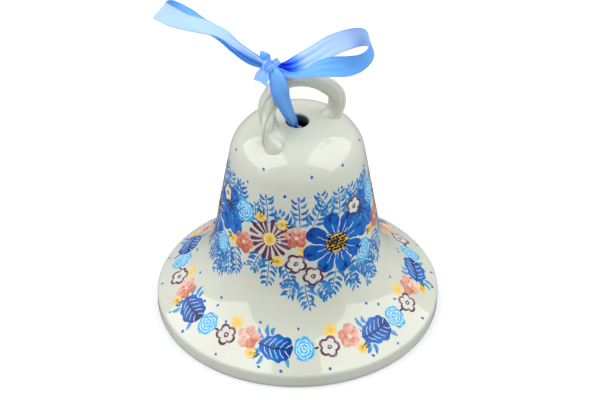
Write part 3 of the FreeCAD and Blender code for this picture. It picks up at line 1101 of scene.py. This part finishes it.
def ribbon_rows(stations, spacing=0.7, columns=19, folds=3, flutter=0.12):
    """Rows over a ribbon that runs through its stations: each point, its place across and its length."""
    centres = [station.centre for station in stations]
    acrosses = [station.across for station in stations]
    gathers = [Vector((station.gather, station.cup)) for station in stations]
    length = sum((end - start).length for start, end in zip(centres, centres[1:]))
    count = max(6, int(length / spacing))
    rows, along = [], 0.0
    before = centres[0]
    for row in range(count + 1):
        share = row / count
        centre = spline(centres, share)
        tangent = unit(spline(centres, min(1, share + 0.004)) - spline(centres, max(0, share - 0.004)))
        across = spline(acrosses, share)
        width = across.length
        across = unit(across - tangent * across.dot(tangent))
        normal = tangent.cross(across)
        gather, cup = spline(gathers, share)
        along += (centre - before).length
        before = centre
        line = []
        for column in range(columns):
            place = 2 * column / (columns - 1) - 1
            wave = math.sin(folds * math.pi * place + 0.9 + 0.05 * along) * gather
            wave += 0.3 * math.sin((folds + 2) * math.pi * place + 2.2 + 0.08 * along) * gather
            wave += cup * (place * place - 0.33)
            wave += flutter * math.sin(along / 3.7 + 2.0 * place) * (1 - place * place * 0.4)
            line.append((centre + across * (place * width / 2) + normal * wave, place, along))
        rows.append(line)
    return rows


def sheet_normal(rows, row, column):
    last_row, last_column = len(rows) - 1, len(rows[0]) - 1
    down = rows[min(row + 1, last_row)][column][0] - rows[max(row - 1, 0)][column][0]
    over = rows[row][min(column + 1, last_column)][0] - rows[row][max(column - 1, 0)][0]
    return unit(down.cross(over))


def slant_end(rows, cut):
    """Moves the last row on at one edge and back at the other, as scissors leave it."""
    for column, (point, place, along) in enumerate(rows[-1]):
        onward = unit(point - rows[-2][column][0])
        rows[-1][column] = (point + onward * cut * place, place, along)


def sheet_faces(rows, columns):
    """Quads over a sheet's two faces and its four edges. The second face's points follow the first's."""
    back = rows * columns
    faces = []
    for row in range(rows - 1):
        for column in range(columns - 1):
            a, b = row * columns + column, row * columns + column + 1
            c, d = b + columns, a + columns
            faces.append((a, d, c, b))
            faces.append((back + a, back + b, back + c, back + d))
        a, d = row * columns, (row + 1) * columns
        faces.append((a, back + a, back + d, d))
        a, d = a + columns - 1, d + columns - 1
        faces.append((d, back + d, back + a, a))
    for row, flip in ((0, True), (rows - 1, False)):
        for column in range(columns - 1):
            a = row * columns + column
            side = (a, back + a, back + a + 1, a + 1)
            faces.append(side[::-1] if flip else side)
    return faces


def make_ribbon(
    name, stations, satin, body=None, node=None, cut=0.0, sides=(0.0, 1.0), pocket_shade=0.0, **shape
):
    """A woven ribbon as a thin closed sheet, with the shape that ribbon_rows gives it.

    sides says how much painted shade, a deeper saturated blue, each face gets. pocket_shade is how far
    from the knot the inside is painted dark, and cut is how far the end slants.
    """
    rows = ribbon_rows(stations, **shape)
    if cut:
        slant_end(rows, cut)
    points = []
    attributes = {"across": [], "along": [], "shaded_blue": [], "pocket_shade": []}
    # painted shade: each face gets its share of the deeper shaded blue
    for level, shaded_blue in zip((0.5, -0.5), sides):
        for row, line in enumerate(rows):
            for column, (point, place, along) in enumerate(line):
                away = (point - KNOT).length
                # painted shade: on the back face, darker the nearer the knot
                dark = 1 - smooth(0.35 * pocket_shade, pocket_shade, away) if pocket_shade and level < 0 else 0.0
                points.append(point + sheet_normal(rows, row, column) * (RIBBON_THICKNESS * level))
                for label, value in zip(attributes, (place * RIBBON_WIDTH / 2, along, shaded_blue, dark)):
                    attributes[label].append(value)
    faces = sheet_faces(len(rows), len(rows[0]))
    piece = make_piece(name, points, faces, satin, body, "satin_ribbon", node, **attributes)
    piece.data.set_sharp_from_angle(angle=math.radians(50))
    return piece


def make_gathered(name, rings, around, point_at, satin, body, node):
    """A closed lump of gathered ribbon. point_at gives a point, where it is in the weave, and a crease."""
    points = []
    attributes = {"across": [], "along": [], "shaded_blue": []}
    for ring in range(rings):
        for turn in turns(around):
            point, across, along, crease = point_at(ring, turn)
            points.append(point)
            # painted shade: sunken folds get the deeper shaded blue, raised ones the lit blue
            for label, value in zip(attributes, (across, along, 0.5 - 0.5 * crease)):
                attributes[label].append(value)
    faces = [face[::-1] for face in ring_faces(rings, around)]
    make_piece(name, points, faces, satin, body, "satin_ribbon", node, **attributes)


def make_lump(name, centre, radii, satin, body, node, folds=7, tilt=0.0):
    """A small tight knot: a lump with gathered folds that run over it on a slant."""
    rings = 44
    spin = Matrix.Rotation(math.radians(tilt), 3, "Y")

    def point_at(ring, turn):
        lean = math.pi * (ring + 0.5) / rings
        crease = math.sin(folds * turn + 1.2 * math.cos(lean) * math.pi)
        pucker = noise.noise(Vector((math.cos(turn), math.sin(turn), lean)) * 1.6 + centre)
        ridge = 0.09 * abs(crease) ** 0.6 * math.copysign(1, crease)
        reach = 1 + (ridge + 0.16 * pucker) * math.sin(lean)
        direction = upright(math.sin(lean), turn, math.cos(lean))
        offset = Vector([radius * part * reach for radius, part in zip(radii, direction)])
        return centre + spin @ offset, 4.0 * math.sin(folds * turn), radii[2] * lean, crease

    make_gathered(name, rings, 64, point_at, satin, body, node)


def blend_from_knot(piece):
    """Bakes a piece's placement into its mesh."""
    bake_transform(piece)


def bend_loop(loop, direction):
    """Bakes a loop's placement into its mesh."""
    direction = unit(tilted(*direction))
    blend_from_knot(loop)


def make_hanging_loop(satin):
    """The long loop to hang the bell by: a light near layer and a far layer seen from inside."""
    stations = from_knot(
        (-1.0, 1.2, 0.6, (0.8, 2.0, -1.0), 0.5),
        (-4.6, 3.4, 1.4, (0.9, 2.2, -1.6), 0.7),
        (-9.1, 6.0, 2.5, (1.2, 2.4, -3.2), 0.7),
        (-15.9, 10.5, 4.0, (2.0, 3.2, -5.6), 0.5),
        (-21.5, 15.2, 5.0, (2.6, 4.4, -6.8), 0.3),
        (-27.0, 18.2, 5.8, (2.6, 5.2, -7.6), 0.1, 0.3),
        (-34.2, 20.4, 6.2, (3.2, 6.8, -6.8), 0.05, 0.5),
        (-42.2, 22.4, 5.5, (3.8, 7.6, -5.6), 0.0, 0.5),
        (-48.5, 25.0, 3.6, (5.0, 8.4, -3.0), 0.0, 0.3),
        (-53.6, 28.2, 0.0, (7.2, 7.4, 2.6), 0.0),
        (-50.6, 29.0, -3.6, (6.6, 7.4, 1.6), 0.0),
        (-46.3, 27.8, -5.2, (5.4, 7.8, -1.0), 0.0, -0.3),
        (-40.0, 25.0, -6.0, (4.2, 7.8, -3.6), 0.05, -0.4),
        (-34.0, 21.6, -6.0, (3.4, 6.2, -5.4), 0.1, -0.3),
        (-28.5, 18.8, -5.0, (2.8, 5.2, -6.4), 0.2),
        (-23.4, 15.0, -4.2, (2.4, 4.4, -6.0), 0.3),
        (-17.6, 9.6, -3.0, (2.0, 3.8, -4.6), 0.5),
        (-10.3, 4.1, -1.6, (1.5, 3.2, -2.6), 0.7),
        (-4.1, 1.2, -0.6, (1.0, 2.4, -1.0), 0.7),
        (-1.0, 0.4, -0.4, (0.8, 2.0, -0.8), 0.5),
    )
    loop = make_ribbon("hanging_loop_ribbon", stations, satin, node="hanging_loop", sides=(0.9, 0.0))
    bend_loop(loop, (-9.1, 5.2, 0.4))


def make_bow_loop(satin):
    """The bow's loop: the near layer below, the far layer above and a gap between them at the tip."""
    stations = from_knot(
        (1.0, 0.0, 1.6, (1.2, 1.8, -0.6), 0.5),
        (5.2, -2.1, 2.6, (1.2, 2.2, -1.4), 0.6),
        (10.2, -3.7, 3.6, (0.6, 2.5, -3.2), 0.5),
        (16.6, -3.0, 4.6, (0.8, 4.2, -6.2), 0.35),
        (22.9, -1.1, 5.8, (1.2, 7.6, -5.4), 0.2, 0.4),
        (30.6, 0.0, 6.4, (0.6, 9.9, -1.0), 0.1, 0.5),
        (37.7, 0.4, 6.0, (0.2, 9.9, 2.4), 0.0, 0.5),
        (44.0, 2.0, 4.6, (-0.8, 8.4, 5.4), 0.0, 0.2),
        (48.4, 5.2, 2.2, (-2.0, 6.4, 7.8), 0.0),
        (50.0, 9.8, -0.8, (-2.4, 5.6, 8.4), 0.0),
        (48.2, 13.8, -3.8, (-1.6, 7.4, 7.0), 0.0),
        (44.2, 15.3, -5.4, (-1.2, 8.8, 4.8), 0.0, -0.2),
        (37.5, 13.8, -6.6, (-1.6, 10.1, -1.0), 0.0, -0.4),
        (30.1, 11.0, -6.6, (-3.0, 10.0, -2.6), 0.1, -0.4),
        (22.9, 6.6, -5.6, (-3.0, 9.8, -3.0), 0.25, -0.2),
        (15.7, 2.9, -3.8, (-3.4, 8.8, -3.0), 0.5),
        (9.6, 0.7, -2.0, (-2.2, 6.4, -1.8), 0.8),
        (4.6, 0.8, -0.8, (-1.2, 2.8, -1.0), 0.7),
        (1.0, 0.6, -0.4, (-1.0, 2.0, -0.6), 0.5),
    )
    loop = make_ribbon(
        "bow_loop_ribbon", stations, satin, node="bow_loop", sides=(0.85, 0.0), pocket_shade=20.0
    )
    bend_loop(loop, (10.0, -0.6, 0.6))


def make_tail(satin):
    """The short end that hangs at the knot's lower left, cut on a slant."""
    stations = from_knot(
        (-1.0, 0.8, 1.0, (2.6, -0.8, 0.6), 0.5),
        (-2.6, -1.4, 2.6, (4.0, -1.6, 1.0), 0.4),
        (-3.6, -4.0, 3.5, (6.0, -2.8, 1.4), 0.12),
        (-4.5, -7.3, 3.8, (6.2, -3.4, 1.6), 0.0, 0.1),
    )
    tail = make_ribbon(
        "ribbon_cut_end",
        stations,
        satin,
        node="ribbon_tail",
        folds=2,
        spacing=0.4,
        cut=1.6,
        sides=(0.5, 0.5),
    )
    blend_from_knot(tail)


def wrap_knot(name, satin, stations, sides):
    """A narrow stretch of ribbon drawn tight over the knot."""
    shape = {"folds": 2, "spacing": 0.35, "columns": 13, "flutter": 0.0}
    make_ribbon(name, stations, satin, "bell", sides=sides, **shape)


def make_knot(satin):
    """The tied knot: a tight lump, two turns of ribbon crossing over it and a small lobe above."""
    make_lump("knot_core", KNOT, (4.3, 3.7, 3.6), satin, "bell", "ribbon_knot", folds=6, tilt=50)
    over = from_knot(
        (4.4, 3.4, -1.6, (1.6, -2.4, 0.4), 0.4),
        (3.8, 2.9, 1.6, (1.8, -2.8, 0.6), 0.4),
        (1.4, 1.0, 4.1, (2.0, -2.8, 0.4), 0.4),
        (-0.9, -1.2, 4.0, (2.0, -2.4, 0.0), 0.4),
        (-2.5, -2.6, 1.6, (1.6, -2.0, 0.0), 0.4),
        (-2.6, -2.6, -1.4, (1.4, -1.8, 0.0), 0.3),
    )
    wrap_knot("knot_over", satin, over, sides=(0.5, 0.5))
    under = from_knot(
        (-3.0, 2.6, -1.8, (1.4, 1.8, 0.0), 0.3),
        (-2.4, 2.4, 1.8, (1.6, 2.0, 0.0), 0.3),
        (0.2, 1.6, 3.7, (0.8, 2.8, -0.4), 0.4),
        (3.0, -0.6, 3.5, (0.8, 2.8, -0.4), 0.4),
        (4.4, -2.0, 1.0, (0.8, 2.4, 0.0), 0.3),
    )
    wrap_knot("knot_under", satin, under, sides=(0.6, 0.6))
    lobe = from_knot(
        (-0.8, 1.6, 0.2, (3.0, -0.8, 0.4), 0.4),
        (-2.2, 4.4, 1.3, (4.2, -1.0, 0.4), 0.2),
        (-2.9, 6.6, 1.3, (3.6, -1.4, 1.2), 0.1),
        (-2.6, 7.6, -0.3, (2.4, -1.2, 1.4), 0.1),
        (-1.6, 5.8, -1.6, (3.4, -0.8, 0.8), 0.1),
        (-0.8, 1.8, -1.3, (3.0, -0.8, 0.4), 0.4),
    )
    wrap_knot("knot_lobe", satin, lobe, sides=(0.5, 0.9))


def make_handle_turn(satin):
    """The gathered ribbon that goes down from the knot, round the handle and up again."""
    under = KNOT - Vector((2.6, 0, 0))
    shares = [step / 400 for step in range(401)]
    nearest = min(shares, key=lambda share: (spline(HANDLE_PATH, share) - under).length)
    centre, tangent = handle_frame(nearest)
    up = unit((KNOT - centre) - tangent * (KNOT - centre).dot(tangent))
    over = tangent.cross(up)
    stations = [Station(KNOT - up * 1.0 + over * 0.8, tangent * 3.2, 0.5)]
    radius = 5.2
    for degrees in range(40, 321, 28):
        turn = math.radians(degrees)
        spot = centre + (up * math.cos(turn) + over * math.sin(turn)) * radius
        width = mix(4.0, 4.6, smooth(-1.0, 0.6, -math.cos(turn)))
        stations.append(Station(spot, tangent * width, 0.28))
    stations.append(Station(KNOT - up * 1.0 - over * 0.8, tangent * 3.2, 0.5))
    make_ribbon("ribbon_round_handle", stations, satin, "bell", folds=3, spacing=0.5, flutter=0.0)


def make_strand(satin):
    """The doubled ribbon that falls from the knot, over the near lip of the hole and down inside."""
    into_hole = [
        Station((-1.5, -3.6, 111.7), (2.8, -1.0, 0.4), 0.6),
        Station((-0.9, -2.0, 109.8), (2.6, -0.8, 0.2), 0.7),
        Station((-0.1, -0.4, 108.4), (2.4, -0.4, 0.0), 0.7),
    ]
    front = from_knot(
        (1.6, 0.4, 3.4, (3.2, -0.6, 0.0), 0.5),
        (2.9, -3.0, 4.4, (5.2, -0.6, 0.4), 0.5),
        (4.4, -7.4, 4.0, (7.4, 0.2, 0.6), 0.3, -0.5),
        (5.5, -12.2, 2.0, (7.6, 1.4, 1.0), 0.2, -0.9),
        (7.3, -17.2, -3.0, (6.0, 1.8, 1.0), 0.3, -0.9),
        (9.3, -21.4, -8.4, (4.8, 1.6, 0.6), 0.4, -0.6),
        (11.0, -24.4, -13.6, (4.0, 1.0, 0.4), 0.4, -0.4),
        (12.0, -26.3, -17.2, (3.4, 0.6, 0.0), 0.4, -0.2),
    )
    back = [Station(front[0].centre - NEAR * 0.8, front[0].across * 0.9, 0.4)]
    for station in front[1:]:
        behind = station.centre + tilted(-0.9, -0.5, -1.0)
        back.append(Station(behind, station.across * 0.94, 0.25, 0.4))
    for station in into_hole:
        back.append(Station(station.centre + Vector((0.2, 0.9, 0)), station.across, 0.5))
    # blue is the share of painted shade, the deeper saturated blue, on both faces of each strand
    for name, stations, node, folds, blue in (
        ("strand_front", front + into_hole, "ribbon_strand", 1, 0.75),
        ("strand_back", back, None, 2, 0.9),
    ):
        make_ribbon(name, stations, satin, "bell", node, folds=folds, flutter=0.08, sides=(blue, blue))


# ---- clapper


PIVOT = 105.0  # the height of the clapper's swing axis


def ball_of(node):
    """Middle and radius, in millimetres, of a round CAD node."""
    low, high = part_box(node)
    return (low + high) / 2 / MM, (high.x - low.x) / 2 / MM


def make_bead(glaze):
    """The round bead: a closed ring of wall round its bore."""
    middle, radius = ball_of("clapper_ball")
    bore = 3.0
    lip = bore + 0.5
    lip_height = math.sqrt(radius**2 - lip**2)
    start = math.asin((bore + 1.2) / radius)
    profile = [Vector((bore, -radius + 0.6)), Vector((lip, -lip_height))]
    for step in range(61):
        turn = start + (math.pi - 2 * start) * step / 60
        profile.append(Vector((radius * math.sin(turn), -radius * math.cos(turn))))
    profile += [Vector((lip, lip_height)), Vector((bore, radius - 0.6))]
    around = 96
    points = []
    for out, height in profile:
        for turn in turns(around):
            wobble = 1 + 0.004 * math.sin(2 * turn + height / 5)
            points.append(upright(out * wobble, turn, middle.z + height))
    faces = ring_faces(len(profile), around, closed=True)
    make_piece("clapper_bead", points, faces, glaze, "clapper", "clapper_ceramic", "clapper_ball")


def make_clapper_ribbon(name, satin, side, phase, node=None):
    """One of the bead's two ribbons: gathered in the swivel, loose below it and tight in the bore."""
    middle, radius = ball_of("clapper_ball")
    bottom = middle.z - radius
    stations = []
    for height in (106.6, 105.6, 104.0, 101.0, 92.0, 80.0, 67.0, 55.5, 50.0, 41.0, 33.0, bottom + 0.2):
        tight = smooth(98.0, 105.0, height)
        loose = smooth(54.0, 60.0, height) * (1 - tight)
        sway = 0.5 * loose * math.sin(height / 9.0 + phase * 3)
        turn = 0.25 * math.sin(height / 14.0 + phase) * loose
        across = upright(mix(4.6, 2.6, tight), turn, 0)
        apart = side * 0.42 * mix(1.0, 1.5, loose) * (1 - 0.5 * tight)
        centre = (sway * 0.6, apart + sway * 0.3, height)
        stations.append(Station(centre, across, mix(0.14, 0.5, tight)))
    shape = {"folds": 2, "columns": 11, "spacing": 0.9, "flutter": 0.05}
    ribbon = make_ribbon(name, stations, satin, node=node, **shape)
    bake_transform(ribbon)


def make_clapper_tail(name, satin, lean, node=None):
    """One of the two cut ends below the bead's knot, leaning to one side."""
    top = ball_of("clapper_stop_knot")[0].z - 1.4
    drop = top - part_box("clapper_tails")[0].z / MM - 0.6
    stations = []
    for share in (0.0, 0.25, 0.6, 1.0):
        across = mix(2.6, 5.0, smooth(0.0, 0.7, share))
        aside = 0.5 * lean + 0.8 * math.sin(share * 2.6) * lean
        centre = (lean * (0.4 + 3.4 * share), aside, top - drop * share)
        stations.append(Station(centre, (across, 0, across * 0.27 * lean), 0.3 * (1 - share)))
    make_ribbon(name, stations, satin, "clapper", node, folds=2, spacing=0.5, columns=13, cut=0.7 * lean)


def make_clapper(satin, glaze):
    """The bead on its doubled ribbon, with the knot that holds it and two cut ends below."""
    make_bead(glaze)
    make_clapper_ribbon("clapper_ribbon_front", satin, -1, 0.0, "clapper_ribbon")
    make_clapper_ribbon("clapper_ribbon_back", satin, 1, 0.5)
    middle, radius = ball_of("clapper_stop_knot")
    radii = (radius * 0.93, radius * 0.9, 2.8)
    make_lump("clapper_knot", middle, radii, satin, "clapper", "clapper_stop_knot")
    make_clapper_tail("clapper_tail_left", satin, -1, "clapper_tails")
    make_clapper_tail("clapper_tail_right", satin, 1)


def make_swivel(satin):
    """The ribbon gathered tight where it passes through the crown hole."""
    rings = 22
    top, bottom = 109.0, PIVOT - 1.4

    def point_at(ring, turn):
        share = ring / (rings - 1)
        height = mix(top, bottom, share)
        cap = math.sqrt(max(0.02, 1 - (2 * share - 1) ** 6))
        crease = math.sin(5 * turn + share * 2.4)
        radius = 2.1 * cap * (1 + 0.13 * crease)
        point = Vector((radius * 1.15 * math.cos(turn), radius * math.sin(turn), height))
        return point, 4.0 * math.sin(5 * turn), height, crease

    make_gathered("swivel_cord", rings, 48, point_at, satin, "swivel", "clapper_swivel")


# ---- scene


def make_floor():
    """A pale floor. It glows to the camera, and more so further away, to meet the white background."""
    half = 6.0
    mesh = bpy.data.meshes.new("floor")
    corners = [(-half, -half, 0), (half, -half, 0), (half, half, 0), (-half, half, 0)]
    mesh.from_pydata(corners, [], [(0, 1, 2, 3)])
    floor = add_object("floor", mesh)
    floor.location.z = -0.0002
    shader = Shader("floor_white")
    pale = shader.ramp(shader.noise(3.0), (0.0, (194, 197, 201)), (1.0, (200, 202, 205)))
    away = shader.node("ShaderNodeVectorMath", {"operation": "LENGTH"})
    shader.feed(away.inputs[0], shader.node("ShaderNodeNewGeometry").outputs["Position"])
    glow = shader.maths("MULTIPLY_ADD", away.outputs["Value"], 1.6, 0.02)
    glow = shader.maths("MINIMUM", shader.maths("MAXIMUM", glow, 0.34), 1.0)
    shader.set(
        Base_Color=shader.lay(BLACK, pale, shader.light_path("Is Glossy Ray"), 0.7),
        Roughness=0.9,
        Emission_Color=WHITE,
        Emission_Strength=shader.maths("MULTIPLY", shader.light_path("Is Camera Ray"), glow),
    )
    mesh.materials.append(shader.material)


def soft_light(name, azimuth, elevation, distance, width, height, power):
    """A soft panel that faces the bell from this direction. Angles are degrees, sizes are metres."""
    data = bpy.data.lights.new(name, "AREA")
    data.shape = "RECTANGLE"
    data.size, data.size_y = width, height
    data.energy = power
    lamp = add_object(name, data)
    direction = heading(azimuth, elevation)
    lamp.location = Vector((0, 0, 0.07)) + direction * distance
    lamp.rotation_euler = (-direction).to_track_quat("-Z", "Y").to_euler()
    return lamp


def light_the_scene():
    """Two softboxes, a fill, and a world that is white to the camera and dimmer to everything else."""
    world = bpy.data.worlds.new("studio")
    bpy.context.scene.world = world
    world.use_nodes = True
    studio = Nodes(world.node_tree)
    direction = studio.node("ShaderNodeSeparateXYZ")
    studio.feed(direction.inputs[0], studio.node("ShaderNodeTexCoord").outputs["Generated"])
    dim = studio.maths("MULTIPLY_ADD", direction.outputs["Z"], -0.32, 0.54)
    background = studio.tree.nodes["Background"].inputs
    studio.feed(background["Color"], WHITE)
    studio.feed(background["Strength"], studio.maths("MAXIMUM", studio.light_path("Is Camera Ray"), dim))
    soft_light("softbox_left", -178, 46, 1.5, 2.0, 1.7, 25.5)
    soft_light("softbox_right", -2, 46, 1.5, 2.0, 1.7, 24.0)
    fill = soft_light("back_fill", 90, 50, 1.6, 1.0, 1.0, 4.0)
    fill.visible_glossy = False


def place_camera():
    """Looks down at the front of the bell, as a product picture does, through a long lens."""
    data = bpy.data.cameras.new("camera")
    data.lens = 177.4
    camera = add_object("camera", data)
    aim, distance = Vector((0.0013, 0, 0.0629)), 1.5
    camera.location = aim + NEAR * distance
    camera.rotation_euler = (math.pi / 2 - math.radians(VIEW_RISE), 0, 0)
    bpy.context.scene.camera = camera


def build():
    glaze = glaze_material()
    satin = satin_material()
    make_shell(glaze)
    make_handle(glaze)
    paint_the_bell()
    make_knot(satin)
    make_handle_turn(satin)
    make_strand(satin)
    make_hanging_loop(satin)
    make_bow_loop(satin)
    make_tail(satin)
    make_swivel(satin)
    make_clapper(satin, glaze)
    make_floor()
    light_the_scene()
    place_camera()
    bpy.context.scene.view_settings.view_transform = "Standard"


build()
